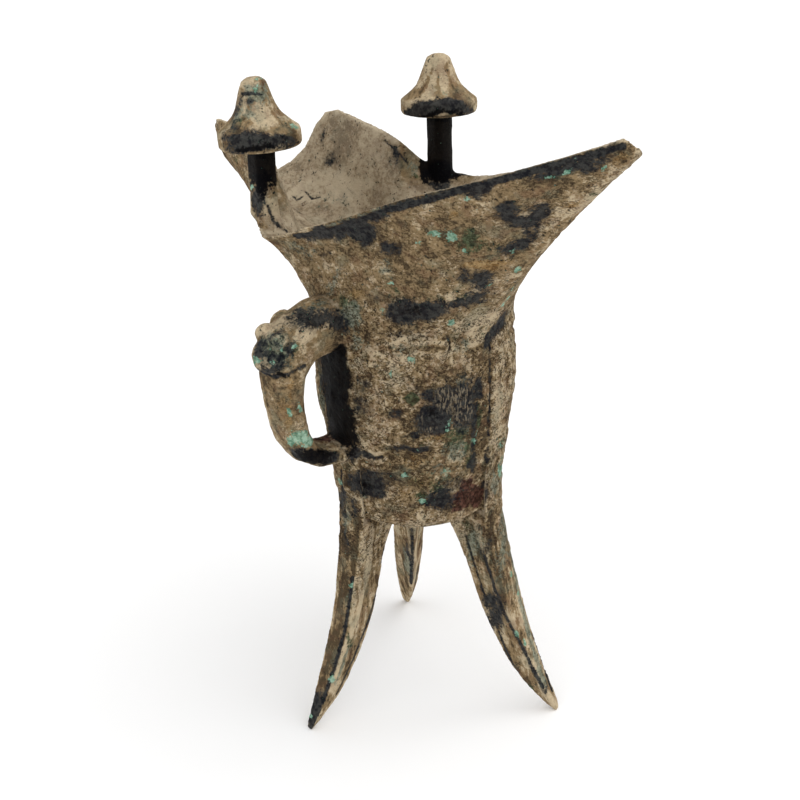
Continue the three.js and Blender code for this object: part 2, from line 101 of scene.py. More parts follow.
def make_camera():
    data = bpy.data.cameras.new("camera")
    data.sensor_width = SENSOR
    data.sensor_fit = "HORIZONTAL"
    data.lens = CAMERA_LENS
    data.clip_start = 10 * MM
    camera = bpy.data.objects.new("camera", data)
    bpy.context.scene.collection.objects.link(camera)
    turn = Matrix.Rotation(math.radians(CAMERA_HEADING), 3, "Z")
    tilt = Matrix.Rotation(math.radians(90 - CAMERA_DOWN), 3, "X")
    roll = Matrix.Rotation(math.radians(CAMERA_ROLL), 3, "Z")
    camera.matrix_world = Matrix.Translation(CAMERA_PLACE) @ (turn @ tilt @ roll).to_4x4()
    bpy.context.scene.camera = camera
    return camera


camera_turn = make_camera().matrix_world.to_3x3()


# Noise: smooth and cellular fields that shape the surface and break up the edges of its stains.
AXIS_PRIMES = (73856093, 19349663, 83492791)
SEED_PRIME = 2654435761
SCRAMBLERS = ((13, 1274126177), (11, 1103515245))
LARGEST = 0x7FFFFFFF
CORNERS = [np.array((x, y, z)) for x in (0, 1) for y in (0, 1) for z in (0, 1)]
NEIGHBOURS = [np.array((x, y, z)) for x in (-1, 0, 1) for y in (-1, 0, 1) for z in (-1, 0, 1)]


def lattice(cells, seed):
    """A number from 0 to 1 for each whole-numbered cell."""
    cells = cells.astype(np.int64)
    mixed = seed * SEED_PRIME
    for axis, prime in enumerate(AXIS_PRIMES):
        mixed = mixed ^ cells[..., axis] * prime
    for shift, factor in SCRAMBLERS:
        mixed = (mixed ^ (mixed >> shift)) * factor & LARGEST
    return mixed / LARGEST


def smooth_noise(points, size, seed):
    """Values from 0 to 1 that change over about the size."""
    scaled = points / size
    low = np.floor(scaled)
    share = scaled - low
    share = share * share * (3 - 2 * share)
    total = np.zeros(len(points))
    for corner in CORNERS:
        weight = np.prod(np.where(corner == 1, share, 1 - share), axis=1)
        total += weight * lattice(low + corner, seed)
    return total


def fractal(points, size, octaves, seed):
    """Smooth noise with finer and fainter noise on top, from about 0 to 1."""
    total = np.zeros(len(points))
    reach = 0
    for octave in range(octaves):
        strength = 0.5**octave
        total += strength * smooth_noise(points, size * strength, seed + octave)
        reach += strength
    return total / reach


def cell_distance(points, size, seed):
    """Distance to the nearest of many scattered points, as a share of the size."""
    scaled = points / size
    low = np.floor(scaled)
    nearest = np.full(len(points), np.inf)
    for step in NEIGHBOURS:
        cell = low + step
        place = np.stack([lattice(cell, seed + axis) for axis in range(3)], axis=1)
        nearest = np.minimum(nearest, np.linalg.norm(cell + place - scaled, axis=1))
    return nearest


def ease(low, high, values):
    """Smooth step from 0 at low to 1 at high."""
    share = np.clip((values - low) / (high - low), 0, 1)
    return share * share * (3 - 2 * share)


# Places on the vessel
def places(points):
    """Azimuth in degrees, radius and height of each point, in millimetres from the middle line."""
    x, y, z = points.T
    return np.degrees(np.arctan2(y, x)), np.hypot(x, y), z


def angle_between(azimuth, middle):
    """How far apart two azimuths are, from 0 to 180 degrees."""
    return np.abs((azimuth - middle + 180) % 360 - 180)


def on_post(points, reach=CAP_REACH):
    """1 within the reach of the middle line of either post."""
    x, y, z = points.T
    away = np.hypot(x - POST_X, np.abs(y) - POST_Y)
    return ease(reach, reach - 1, away) * ease(POST_LOW, POST_LOW + 6, z)


def on_shaft(points):
    """1 on the black shafts, between the rim and the caps."""
    _, y, z = points.T
    foot = np.where(y < 0, NEAR_SHAFT_LOW, FAR_SHAFT_LOW)
    return on_post(points, SHAFT_REACH) * ease(CAP_LOW + 1, CAP_LOW, z) * ease(foot - 4, foot + 6, z)


def on_handle(points):
    """1 on the handle and its head."""
    x, y, z = points.T
    beside = ease(HANDLE_ROOT, HANDLE_ROOT - 1.7, y)
    beside = beside * ease(HANDLE_HALF_WIDTH, HANDLE_HALF_WIDTH - 1.5, np.abs(x))
    return beside * ease(HANDLE_LOW, HANDLE_LOW + 2, z) * ease(HANDLE_HIGH, HANDLE_HIGH - 4, z)


def outwardness(points, normals):
    """From -1 where a face looks at the middle line to 1 where it looks away from it."""
    radius = np.maximum(np.hypot(points[:, 0], points[:, 1]), 1)
    return (normals[:, :2] * points[:, :2]).sum(1) / radius


def inside_cup(points, normals):
    """1 on the walls that face the wine."""
    facing = ease(0.12, -0.12, outwardness(points, normals) - 0.25 * normals[:, 2])
    within = ease(CUP_BASE, CUP_BASE + 2, points[:, 2]) * (1 - on_post(points))
    return facing * within * (1 - on_handle(points))


def on_body(points, normals):
    """1 on the outside of the straight part of the cup."""
    _, radius, z = places(points)
    near = ease(BODY_RADIUS + 3, BODY_RADIUS + 1.5, radius)
    near = near * ease(BODY_RADIUS - 8.5, BODY_RADIUS - 6.5, radius)
    facing = ease(0.2, 0.5, outwardness(points, normals))
    return near * facing * ease(CUP_BASE, CUP_BASE + 2, z) * ease(NECK + 2, NECK, z)


def roughness_of(points, normals):
    """How crusted and pitted the surface is: from the feet up, each region takes over from the last."""
    z = points[:, 2]
    rough = np.full(len(z), 0.22)
    regions = {
        "leg tops": (0.72, ease(38, 68, z)),
        "cup": (0.95, ease(CUP_BASE - 1, CUP_BASE + 5, z)),
        "mouth": (0.45, ease(NECK - 6, NECK + 16, z)),
        "handle": (0.35, on_handle(points)),
        "posts": (0.25, on_post(points)),
        "inside": (0.12, inside_cup(points, normals)),
    }
    for crusted, share in regions.values():
        rough += (crusted - rough) * share
    return rough


# Stains, with a few marks of painted shade and painted shadow among them: each lies where the photograph
# shows it, on the face of the vessel that is behind its pixel. It is an ellipse in the photograph's pixels:
# across, down, half width, half height, tilt in degrees, strength.
# Each kind is listed from the top of the photograph down.
STAINS = {
    "ochre": [
        (620, 158, 10, 6, 10, 0.7), (575, 203, 12, 4, 15, 0.7), (545, 210, 10, 5, 20, 0.5),
        (456, 216, 8, 4, 10, 0.8), (314, 226, 4, 2, 10, 1.0), (485, 265, 24, 5, 5, 1.0),
        (357, 293, 10, 5, 0, 1.0), (284, 412, 10, 22, -10, 0.5), (432, 438, 14, 4, 0, 0.8),
        (417, 462, 18, 12, 0, 0.5), (448, 470, 10, 10, 0, 0.5), (425, 482, 18, 10, 0, 0.45),
        (400, 490, 20, 10, 0, 0.4),
    ],
    "brown": [
        (265, 88, 7, 9, 0, 0.8), (456, 106, 14, 4, 0, 0.7), (335, 122, 14, 10, 0, 0.5),
        (292, 137, 9, 7, 0, 1.1), (345, 140, 16, 26, 0, 0.5), (232, 150, 12, 26, 0, 0.6),
        (626, 152, 14, 9, 10, 0.9), (380, 160, 20, 30, 0, 0.3), (400, 160, 12, 22, 0, 0.45),
        # The broad faint patches at (540, 190), (400, 240) and (410, 285) darken the whole flare below the
        # rim: painted shade on its downward-facing side.
        (540, 190, 60, 12, 15, 0.3), (384, 225, 30, 8, 15, 0.4), (400, 240, 110, 26, -10, 0.25),
        (470, 240, 30, 14, 10, 0.3), (410, 285, 70, 24, 0, 0.2), (320, 300, 14, 8, 20, 0.6),
        (370, 330, 30, 14, 0, 0.4), (482, 352, 9, 12, 0, 0.9), (494, 355, 5, 10, 0, 0.5),
        (430, 392, 10, 7, 10, 0.7), (283, 395, 20, 40, -10, 0.5), (262, 400, 10, 26, -12, 0.5),
        (440, 400, 36, 34, 0, 0.6), (404, 408, 22, 14, -20, 0.7), (484, 410, 5, 16, 0, 0.9),
        (474, 430, 12, 50, 0, 0.6), (410, 432, 18, 12, 0, 0.7), (484, 445, 6, 16, 0, 0.7),
        (400, 472, 48, 22, 0, 0.5), (430, 500, 50, 8, 0, 0.5), (345, 560, 8, 40, 12, 0.6),
        (500, 560, 10, 24, -15, 0.4), (330, 640, 8, 40, 22, 0.8), (546, 678, 8, 10, -30, 0.8),
    ],
    "cream": [
        (438, 78, 16, 20, 0, 0.8), (268, 115, 17, 11, -10, 1.1), (228, 126, 7, 4, 10, 0.9),
        (366, 150, 22, 20, 0, 0.5), (604, 172, 26, 8, 15, 0.4), (350, 185, 26, 16, 0, 1.0),
        (320, 196, 30, 12, 0, 0.5), (595, 196, 14, 5, 30, 0.4), (305, 205, 40, 30, 0, 0.3),
        (280, 215, 16, 8, -20, 0.7), (562, 218, 9, 4, 35, 0.9), (480, 322, 26, 18, 25, 0.9),
        (272, 326, 13, 6, 20, 1.1), (445, 330, 24, 6, 10, 0.5), (480, 335, 10, 30, 20, 0.5),
        (420, 340, 60, 6, 0, 0.4), (300, 345, 22, 8, 20, 0.3), (395, 352, 40, 10, 0, 0.45),
        (455, 355, 26, 20, 10, 0.6), (394, 360, 30, 16, 0, 0.5), (388, 380, 10, 36, 0, 0.6),
        (500, 385, 8, 40, 0, 0.6), (385, 390, 12, 24, 0, 0.5), (400, 390, 8, 26, 0, 0.5),
        (500, 405, 8, 44, 0, 0.8), (385, 430, 16, 10, 0, 0.6), (450, 458, 20, 5, 0, 0.5),
        (372, 460, 16, 14, 0, 0.4), (400, 500, 26, 8, 0, 0.45), (366, 560, 10, 24, 10, 0.6),
        (425, 560, 5, 20, 0, 0.5), (520, 610, 8, 20, -25, 0.4), (358, 620, 7, 36, 18, 0.6),
        (321, 693, 3, 5, 20, 0.9), (548, 700, 8, 10, -30, 0.6),
    ],
    "sage": [
        (249, 86, 9, 7, 0, 0.7), (258, 92, 16, 12, 0, 0.8), (252, 112, 12, 14, 0, 0.6),
        (240, 113, 5, 14, -20, 0.7), (413, 167, 7, 9, 0, 0.7), (330, 200, 30, 12, 0, 0.35),
        (257, 207, 5, 6, 0, 0.9), (300, 250, 30, 8, -20, 0.4), (385, 268, 9, 12, 0, 0.5),
        (334, 282, 6, 20, -20, 0.6), (318, 306, 30, 12, 10, 0.5), (353, 314, 10, 16, 0, 0.9),
        (356, 342, 10, 10, 0, 0.6), (272, 345, 24, 20, 0, 0.8), (466, 345, 8, 14, 0, 0.5),
        (268, 350, 16, 12, 0, 0.9), (400, 350, 8, 8, 0, 0.5), (275, 352, 22, 16, 0, 0.9),
        (463, 380, 9, 8, 30, 0.6), (321, 398, 4, 40, 0, 0.9), (465, 431, 8, 10, 0, 0.6),
        (460, 449, 6, 8, 0, 0.6), (456, 452, 16, 14, 0, 0.7), (440, 470, 26, 10, 0, 0.4),
        (445, 474, 7, 7, 0, 0.6), (494, 484, 6, 14, 0, 0.8), (434, 495, 14, 8, 0, 0.5),
        (362, 498, 4, 6, 0, 0.8), (346, 520, 5, 20, 0, 0.6), (505, 520, 7, 60, -10, 0.7),
        (472, 545, 8, 26, -12, 0.8), (408, 565, 5, 16, 0, 0.9),
    ],
    "rust": [
        (304, 205, 8, 4, 0, 0.35), (540, 222, 8, 3, 10, 0.5), (493, 350, 4, 8, 0, 0.5),
        (326, 439, 14, 5, 0, 0.9), (466, 487, 7, 11, 20, 1.2), (480, 492, 5, 5, 0, 1.4),
        (470, 494, 16, 12, 10, 0.9), (461, 497, 11, 9, 20, 1.2), (477, 500, 9, 8, 0, 1.2),
        (464, 507, 12, 4, 10, 1.2), (358, 512, 6, 6, 0, 0.5),
    ],
    "moss": [
        (240, 122, 9, 4, 0, 0.6), (246, 140, 20, 6, 0, 0.5), (235, 158, 8, 5, -20, 0.5),
        (562, 174, 15, 4, 10, 0.8), (414, 176, 5, 3, 0, 0.9), (594, 195, 6, 2, 20, 0.9),
        (468, 236, 12, 5, 5, 1.0), (350, 240, 26, 6, 10, 0.4), (456, 244, 4, 8, -30, 1.0),
        (470, 246, 22, 8, 15, 0.6), (476, 250, 15, 3, 5, 0.7), (500, 250, 24, 10, 20, 0.35),
        (462, 296, 8, 3, 15, 0.8), (392, 300, 8, 14, 0, 0.5), (400, 300, 30, 6, 0, 0.35),
        (440, 300, 40, 8, 10, 0.4), (345, 302, 14, 10, 0, 0.5), (300, 322, 20, 8, 10, 0.5),
        (485, 330, 8, 6, 0, 0.5), (264, 350, 16, 14, 0, 0.7), (296, 350, 6, 6, 0, 0.8),
        (276, 352, 22, 15, 0, 0.6), (476, 412, 5, 26, 0, 0.6), (476, 422, 3, 12, 0, 1.0),
        (458, 436, 16, 14, 0, 0.7), (425, 440, 14, 5, 0, 0.5), (455, 445, 10, 9, 0, 0.5),
        (466, 450, 4, 6, 0, 0.9), (470, 460, 8, 16, 0, 0.6), (352, 470, 14, 10, 0, 0.4),
        (424, 480, 24, 14, 0, 0.35), (440, 480, 26, 12, 0, 0.4), (436, 491, 7, 6, 0, 0.9),
        (420, 495, 9, 3, 0, 0.9), (508, 500, 6, 18, 0, 0.4), (463, 523, 5, 5, 0, 0.9),
        (350, 640, 3, 16, 12, 0.6), (530, 688, 5, 6, -30, 0.9),
    ],
    "dark": [
        (250, 100, 8, 4, 0, 0.7), (438, 106, 38, 5, 0, 0.8), (437, 107, 36, 7, 0, 1.4),
        (238, 108, 5, 14, -20, 0.7), (236, 125, 6, 10, -30, 0.6), (225, 135, 6, 16, 0, 0.5),
        (245, 138, 26, 8, 0, 1.1), (322, 138, 3, 7, 0, 0.6), (256, 141, 36, 7, 0, 1.2),
        (284, 141, 18, 4, 0, 0.9), (236, 148, 16, 4, 0, 0.8), (250, 148, 30, 4, 0, 1.0),
        (236, 150, 12, 26, 0, 0.5), (396, 154, 3, 8, 0, 0.9), (560, 156, 30, 3, 15, 0.6),
        (330, 159, 7, 9, 0, 0.7), (395, 160, 10, 10, 0, 0.4), (570, 168, 40, 6, 10, 1.0),
        (440, 183, 14, 7, 0, 0.9), (479, 189, 14, 5, 10, 1.0), (257, 202, 9, 16, 0, 1.0),
        (546, 204, 10, 3, 15, 0.8), (507, 211, 14, 9, 0, 1.1), (540, 213, 15, 8, 20, 1.0),
        (375, 216, 24, 5, 16, 0.7), (523, 220, 20, 6, 0, 1.1), (254, 222, 4, 8, 0, 0.6),
        (350, 230, 30, 7, 15, 1.0), (530, 231, 16, 5, 20, 0.7), (325, 234, 26, 5, 8, 1.1),
        (365, 234, 15, 9, 10, 1.2), (318, 236, 20, 5, 8, 0.9), (516, 244, 21, 7, 28, 0.9),
        (390, 250, 15, 7, 0, 0.8), (325, 260, 5, 24, -20, 0.35), (460, 262, 10, 3, 10, 0.4),
        (466, 278, 9, 8, 0, 0.7), (482, 281, 13, 12, 0, 0.9), (375, 300, 10, 5, 0, 0.5),
        (394, 300, 12, 4, 0, 0.5), (466, 300, 24, 7, 18, 0.9), (476, 300, 12, 8, 10, 0.7),
        (400, 311, 14, 11, 0, 1.2), (436, 311, 14, 10, 0, 1.1), (302, 313, 17, 8, 20, 0.8),
        (404, 313, 20, 12, 0, 1.3), (418, 313, 32, 9, 3, 1.2), (315, 319, 34, 13, 10, 0.75),
        (315, 322, 26, 10, 10, 0.9), (338, 322, 15, 10, 0, 1.0), (499, 325, 6, 16, -35, 0.9),
        (315, 328, 9, 4, 0, 0.9), (400, 335, 40, 6, 0, 0.35), (272, 337, 14, 4, 20, 0.8),
        (490, 338, 6, 10, -20, 0.9), (259, 350, 14, 14, 0, 0.8), (291, 350, 7, 7, 0, 0.8),
        (270, 352, 24, 18, 0, 0.5), (259, 356, 4.5, 5, 0, 1.3), (272, 358, 20, 12, 0, 0.7),
        # The tall mark at (330, 380) darkens the cup beside the handle: dark patina with painted shadow of
        # the handle in it.
        (278, 366, 13, 5, 10, 0.8), (268, 372, 16, 5, 10, 0.8), (330, 380, 16, 44, 0, 0.7),
        (361, 381, 12, 10, 0, 0.5), (480, 388, 5, 9, 0, 1.0), (420, 390, 22, 6, 0, 0.35),
        (452, 392, 15, 11, 20, 0.9), (478, 392, 7, 7, 0, 0.9), (450, 393, 22, 11, 12, 0.8),
        (431, 395, 9, 8, 20, 0.9), (455, 402, 20, 26, 0, 0.6), (360, 404, 10, 14, 0, 0.5),
        (464, 405, 12, 32, 0, 0.9), (463, 406, 8, 18, 0, 0.8), (440, 408, 24, 12, 20, 0.7),
        (431, 411, 10, 8, 0, 1.2), (397, 415, 5, 4, 0, 0.8), (434, 418, 19, 16, 0, 1.4),
        (434, 419, 16, 13, 0, 1.2), (440, 424, 18, 8, 0, 1.1), (413, 431, 6, 4, 0, 0.9),
        (412, 447, 20, 4, 0, 0.8), (422, 449, 8, 4, 0, 1.1), (300, 453, 12, 8, -10, 1.0),
        (300, 454, 9, 5, -10, 0.9), (354, 454, 8, 10, 0, 0.9), (300, 455, 12, 7, -10, 1.1),
        (328, 456, 15, 5, 0, 1.2), (367, 457, 8, 4, -20, 1.0), (488, 459, 3, 7, 0, 0.9),
        (470, 466, 5, 4, 0, 1.0), (380, 482, 30, 12, 0, 0.45), (366, 484, 22, 15, 0, 1.1),
        (483, 484, 6, 4, 0, 0.8), (366, 485, 17, 12, 0, 0.9), (452, 488, 20, 12, 0, 0.5),
        (487, 495, 3, 8, 0, 0.8), (342, 500, 5, 20, 0, 0.7), (440, 500, 18, 12, 0, 0.9),
        (440, 501, 14, 12, 0, 0.8), (352, 505, 8, 14, 0, 0.6), (346, 540, 4, 20, 5, 0.5),
        (484, 545, 5, 16, -15, 0.6), (411, 560, 3, 20, 0, 0.8), (490, 600, 7, 18, -25, 1.0),
        (495, 615, 8, 24, -25, 0.9), (545, 692, 6, 10, -30, 0.6), (316, 704, 10, 10, 22, 0.9),
        (314, 712, 9, 20, 22, 0.9), (330, 715, 3, 3, 0, 0.3), (313, 716, 12, 24, 22, 1.3),
    ],
    # The tall marks at (335, 375), (334, 400), (340, 424), (352, 440) and (350, 452) blacken the cup beside
    # the handle: black patina with painted shadow of the handle in it.
    "black": [
        (440, 113, 26, 2, 0, 1.0), (252, 148, 24, 3, 0, 1.0), (437, 172, 14, 10, 0, 1.2),
        (464, 176, 14, 2, 0, 1.1), (262, 182, 12, 16, 0, 0.9), (262, 190, 8, 10, 0, 0.8),
        (410, 312, 14, 5, 0, 0.7), (283, 373, 5, 3, 0, 1.1), (335, 375, 13, 38, 0, 1.7),
        (334, 400, 9, 50, 0, 1.6), (432, 412, 8, 7, 0, 0.75), (340, 424, 16, 26, 0, 1.6),
        (352, 440, 9, 10, 0, 1.1), (350, 452, 6, 8, 0, 0.7), (312, 456, 24, 7, 0, 1.2),
        (318, 456, 22, 5, 0, 0.9), (364, 482, 8, 6, 0, 0.7),
    ],
    "mint": [
        (256, 78, 6, 1.6, 0, 0.8), (255, 87, 4, 4, 0, 0.7), (446, 95, 4, 2, 0, 0.5),
        (294, 126, 4, 5, 0, 0.8), (604, 166, 3, 1.6, 15, 1.0), (569, 173, 5, 3, 10, 0.9),
        (552, 177, 8, 3, 10, 0.7), (252, 189, 2.5, 3, 0, 1.0), (469, 199, 3, 2.5, 0, 1.0),
        (451, 233, 6, 4, 5, 1.1), (435, 235, 6, 2.5, 10, 1.1), (421, 244, 5, 2, 0, 0.8),
        (463, 249, 3, 3, 0, 1.0), (512, 250, 4, 2, 20, 0.7), (521, 268, 4, 3, 30, 1.0),
        (388, 283, 3, 2.5, 0, 1.0), (488, 285, 2.5, 1.6, 0, 1.0), (514, 288, 3, 3, 0, 1.0),
        (508, 300, 3, 4, -20, 1.1), (503, 306, 3, 3, 0, 1.0), (380, 311, 3, 4, 0, 0.9),
        (451, 324, 4, 3.5, 0, 1.1), (276, 342, 2.5, 2.5, 0, 0.6), (295, 347, 3, 2, 10, 1.0),
        (268, 349, 2.5, 2.5, 0, 0.6), (282, 349, 2.5, 2.5, 0, 1.0), (411, 359, 6, 4, 0, 1.0),
        (270, 362, 2.5, 2.5, 0, 0.9), (257, 363, 4, 3, -20, 1.0), (390, 375, 2.5, 3, 0, 0.8),
        (301, 406, 2.5, 3, 0, 1.1), (290, 411, 3, 2.5, 0, 1.1), (452, 423, 4, 3, 20, 0.8),
        (447, 430, 3, 2, 0, 0.8), (476, 436, 2.5, 5, 0, 1.0), (298, 437, 9, 6, -10, 1.1),
        (502, 440, 3, 8, 0, 0.6), (290, 441, 5, 5, 0, 1.0), (309, 442, 7, 5, -20, 1.2),
        (473, 443, 3.5, 4, 0, 1.1), (501, 468, 3, 16, 0, 0.8), (446, 473, 4, 5, 0, 0.6),
        (405, 475, 4, 3, 10, 1.1), (340, 480, 3, 5, 0, 0.8), (422, 501, 5, 3, 0, 1.1),
        (512, 574, 3, 5, -20, 0.9), (353, 585, 3, 3, 0, 0.9), (518, 596, 3, 4, 0, 0.9),
        (517, 634, 4, 4, 0, 1.1), (525, 642, 3, 4, 0, 1.0), (332, 680, 3, 4, 0, 0.9),
        (310, 718, 2.5, 3, 0, 0.9),
    ],
    "whisker": [
        (449, 400, 12, 15, 20, 1.1), (463, 405, 9, 22, 0, 1.0), (418, 420, 3, 12, 0, 0.6),
        (430, 427, 9, 4, 0, 0.8),
    ],
}

# Lines: half width in pixels of the photograph, strength, and the pixels that the line runs through.
LINES = {
    "dark": [
        (2.4, 0.6, [(380, 208), (440, 193), (500, 177), (560, 160), (618, 144)]),
        (3.0, 1.4, [(296, 237), (330, 231), (358, 222), (384, 212), (440, 197), (500, 181),
                    (560, 164), (622, 147)]),
        (4.0, 0.8, [(530, 172), (560, 166), (600, 157)]),
        (2.2, 0.85, [(353, 578), (351, 596), (345, 632), (335, 668), (322, 702)]),
        (1.6, 0.85, [(385, 548), (381, 580), (368, 622), (352, 662), (337, 694)]),
        (2.2, 0.9, [(484, 556), (494, 588), (507, 620), (524, 652), (543, 688)]),
        (1.6, 0.8, [(466, 536), (477, 574), (490, 612), (506, 650), (526, 690)]),
        (1.6, 1.1, [(516, 560), (525, 600), (536, 644), (552, 690)]),
        (2.0, 0.9, [(411, 530), (412, 556), (411, 584)]),
        (1.2, 1.0, [(423, 532), (421, 556), (415, 588)]),
        (3.4, 0.7, [(475, 388), (475, 425), (474, 450), (473, 470)]),
        (1.5, 0.62, [(490, 345), (490, 376), (489, 400), (488, 456)]),
        (1.4, 1.4, [(242, 94), (252, 93), (262, 94)]),
        (0.8, 1.0, [(292, 195), (297, 200), (303, 196)]),
        (0.8, 1.0, [(305, 191), (312, 199), (320, 197)]),
        (1.8, 1.1, [(258, 371), (275, 377), (290, 374), (305, 366)]),
        (1.4, 0.8, [(364, 470), (378, 474), (392, 474)]),
        (1.4, 1.0, [(342, 470), (343, 490), (345, 515)]),
        (1.0, 0.8, [(446, 335), (450, 343), (449, 350)]),
        (1.6, 1.2, [(366, 454), (374, 459), (382, 457)]),
        (1.2, 0.9, [(404, 112), (420, 117), (440, 118), (458, 116), (473, 109)]),
        (1.4, 1.0, [(224, 144), (240, 151), (262, 153), (286, 149), (299, 142)]),
        (1.2, 0.7, [(384, 140), (396, 150), (408, 164)]),
        (1.6, 0.8, [(268, 206), (274, 222), (290, 233)]),
    ],
    "brown": [
        (3.4, 1.0, [(330, 226), (380, 209), (440, 194), (500, 178), (560, 161), (630, 147)]),
        (6.0, 1.1, [(345, 575), (340, 615), (331, 655), (318, 700)]),
        (4.0, 0.9, [(358, 520), (356, 545), (354, 570)]),
        (5.0, 0.9, [(490, 520), (495, 560), (503, 600)]),
        (4.0, 0.8, [(500, 640), (520, 672), (538, 696)]),
        (3.0, 0.8, [(405, 540), (405, 570), (407, 585)]),
        (1.8, 0.9, [(432, 68), (427, 84), (418, 96)]),
        (1.8, 0.8, [(446, 66), (451, 82), (459, 97)]),
        (1.4, 0.8, [(438, 72), (438, 96)]),
        (1.6, 0.9, [(262, 98), (272, 112), (282, 124)]),
        (1.6, 0.8, [(252, 98), (248, 112), (240, 124)]),
        (2.0, 0.9, [(380, 349), (410, 350), (444, 348)]),
        (3.0, 0.6, [(264, 380), (268, 410), (280, 436)]),
    ],
    "cream": [
        (1.2, 1.5, [(361, 450), (364, 457), (371, 463), (380, 463), (387, 458)]),
        (1.0, 1.2, [(362, 464), (374, 469), (390, 468)]),
        # This pale line along the upper raised ring round the cup is a painted highlight on the ring.
        (1.6, 0.9, [(384, 344), (410, 345), (444, 342)]),
        (1.0, 0.8, [(425, 405), (440, 401)]),
        (1.6, 0.8, [(268, 233), (284, 233), (300, 231)]),
        (4.0, 1.0, [(372, 535), (368, 575), (357, 618), (343, 656), (332, 684)]),
        (2.4, 0.7, [(417, 540), (416, 570), (413, 590)]),
        (3.0, 0.8, [(534, 664), (548, 700)]),
        (2.0, 1.0, [(552, 226), (566, 216), (580, 206)]),
    ],
    "sage": [
        (2.2, 0.5, [(320, 228), (380, 209), (440, 194), (500, 178), (560, 160), (616, 145)]),
        (5.0, 0.8, [(504, 480), (508, 520), (513, 560), (522, 606), (533, 648), (544, 684)]),
        (2.4, 1.1, [(347, 650), (342, 668), (336, 682)]),
    ],
    "ochre": [(3.0, 0.6, [(292, 380), (288, 410), (290, 428)])],
}

# Each kind of stain on the sides that the photograph hides: how many, how large in millimetres, how strong.
HIDDEN_STAINS = {
    "ochre": (20, 4.5, 0.8),
    "brown": (30, 6.0, 0.7),
    "cream": (30, 5.5, 0.7),
    "sage": (24, 4.5, 0.8),
    "rust": (8, 4.0, 1.0),
    "moss": (20, 3.0, 0.9),
    "dark": (46, 4.6, 1.0),
    "black": (6, 4.0, 1.2),
    "mint": (70, 1.0, 1.1),
    "whisker": (0, 1.0, 0.0),
}
HIDDEN_HEIGHTS = (5, 190)
HIDDEN_RADII = (10, 60)
HIDDEN_SCALES = (0.5, 1.5)
HIDDEN_FLATNESS = (0.5, 1.0)
HIDDEN_SEED = 100

# How a stain fades out from its middle, in shares of its size. It shows only on faces that look about the
# same way as its middle does: not at all below the first cosine between them, and in full above the second.
STAIN_FADE = (1.7, 0.2)
STAIN_SEARCH = 1.8
SAME_SIDE = (-0.1, 0.3)

# How stains are bent out of their plain shapes, in millimetres.
BEND = 4.2
BEND_SIZE = 6
BEND_SEEDS = (201, 211, 221)

# Lines are followed in short steps, in pixels, and break off where two steps lie far apart, in millimetres.
LINE_STEP = 3
LINE_GAP = 8
LINE_FADE = (2.0, 0.4)

cad_tree = BVHTree.FromPolygons(
    [vertex.co.copy() for vertex in cad.data.vertices],
    [tuple(face.vertices) for face in cad.data.polygons],
)


def photo_ray(across, down):
    """Direction in which the camera sees a pixel of the photograph."""
    half = PHOTO_SIZE / 2
    direction = Vector(((across - half) / FOCAL, (half - down) / FOCAL, -1))
    return (camera_turn @ direction).normalized()


def photo_hit(across, down):
    """Place on the vessel behind a pixel, its normal, and the size of that pixel there, in millimetres."""
    place, normal, _, distance = cad_tree.ray_cast(CAMERA_PLACE, photo_ray(across, down))
    if place is None:
        return None
    return np.array(place - AXIS) / MM, np.array(normal), distance / MM / FOCAL


def warped(points):
    """The points moved about a little, so that what is drawn on them gets an uneven edge."""
    moved = [fractal(points, BEND_SIZE, 3, seed) - 0.5 for seed in BEND_SEEDS]
    return points + BEND * np.stack(moved, axis=1)


class Cloud:
    """Points sorted by height, so that those near a place are found quickly."""

    def __init__(self, points):
        self.points = points
        self.order = np.argsort(points[:, 2])
        self.heights = points[self.order, 2]

    def near(self, centre, reach):
        """Numbers of the points within a cube around the centre."""
        first, last = np.searchsorted(self.heights, (centre[2] - reach, centre[2] + reach))
        level = self.order[first:last]
        return level[np.abs(self.points[level] - centre).max(axis=1) < reach]


def add_stain(field, near, away, cosine, strength):
    """Lays a soft stain on the near points, on those faces that look the same way as its middle."""
    stain = strength * ease(*SAME_SIDE, cosine) * ease(*STAIN_FADE, away)
    field[near] = np.maximum(field[near], stain)


def ellipse_field(cloud, normals, kind):
    """How strongly each point is stained, from 0 to about the stain's strength."""
    right, up, back = (np.array(camera_turn.col[i]) for i in range(3))
    field = np.zeros(len(normals))
    for across, down, half_width, half_height, tilt, strength in STAINS[kind]:
        hit = photo_hit(across, down)
        if hit is None:
            continue
        centre, facing, pixel = hit
        turn = math.radians(tilt)
        long_way = right * math.cos(turn) + up * math.sin(turn)
        short_way = up * math.cos(turn) - right * math.sin(turn)
        depth = pixel * max(half_width, half_height) + 1
        near = cloud.near(centre, STAIN_SEARCH * depth)
        offset = cloud.points[near] - centre
        away = np.sqrt(
            ((offset @ long_way) / (pixel * half_width)) ** 2
            + ((offset @ short_way) / (pixel * half_height)) ** 2
            + ((offset @ back) / depth) ** 2
        )
        add_stain(field, near, away, normals[near] @ facing, strength)
    return field


def hits_along(pixels):
    """What the camera meets on the vessel, step by step along a line from pixel to pixel."""
    hits = []
    for start, end in zip(pixels, pixels[1:]):
        steps = max(2, int(math.dist(start, end) / LINE_STEP))
        for step in range(steps + 1):
            share = step / steps
            across, down = (here + (there - here) * share for here, there in zip(start, end))
            hits.append(photo_hit(across, down))
    return [hit for hit in hits if hit is not None]


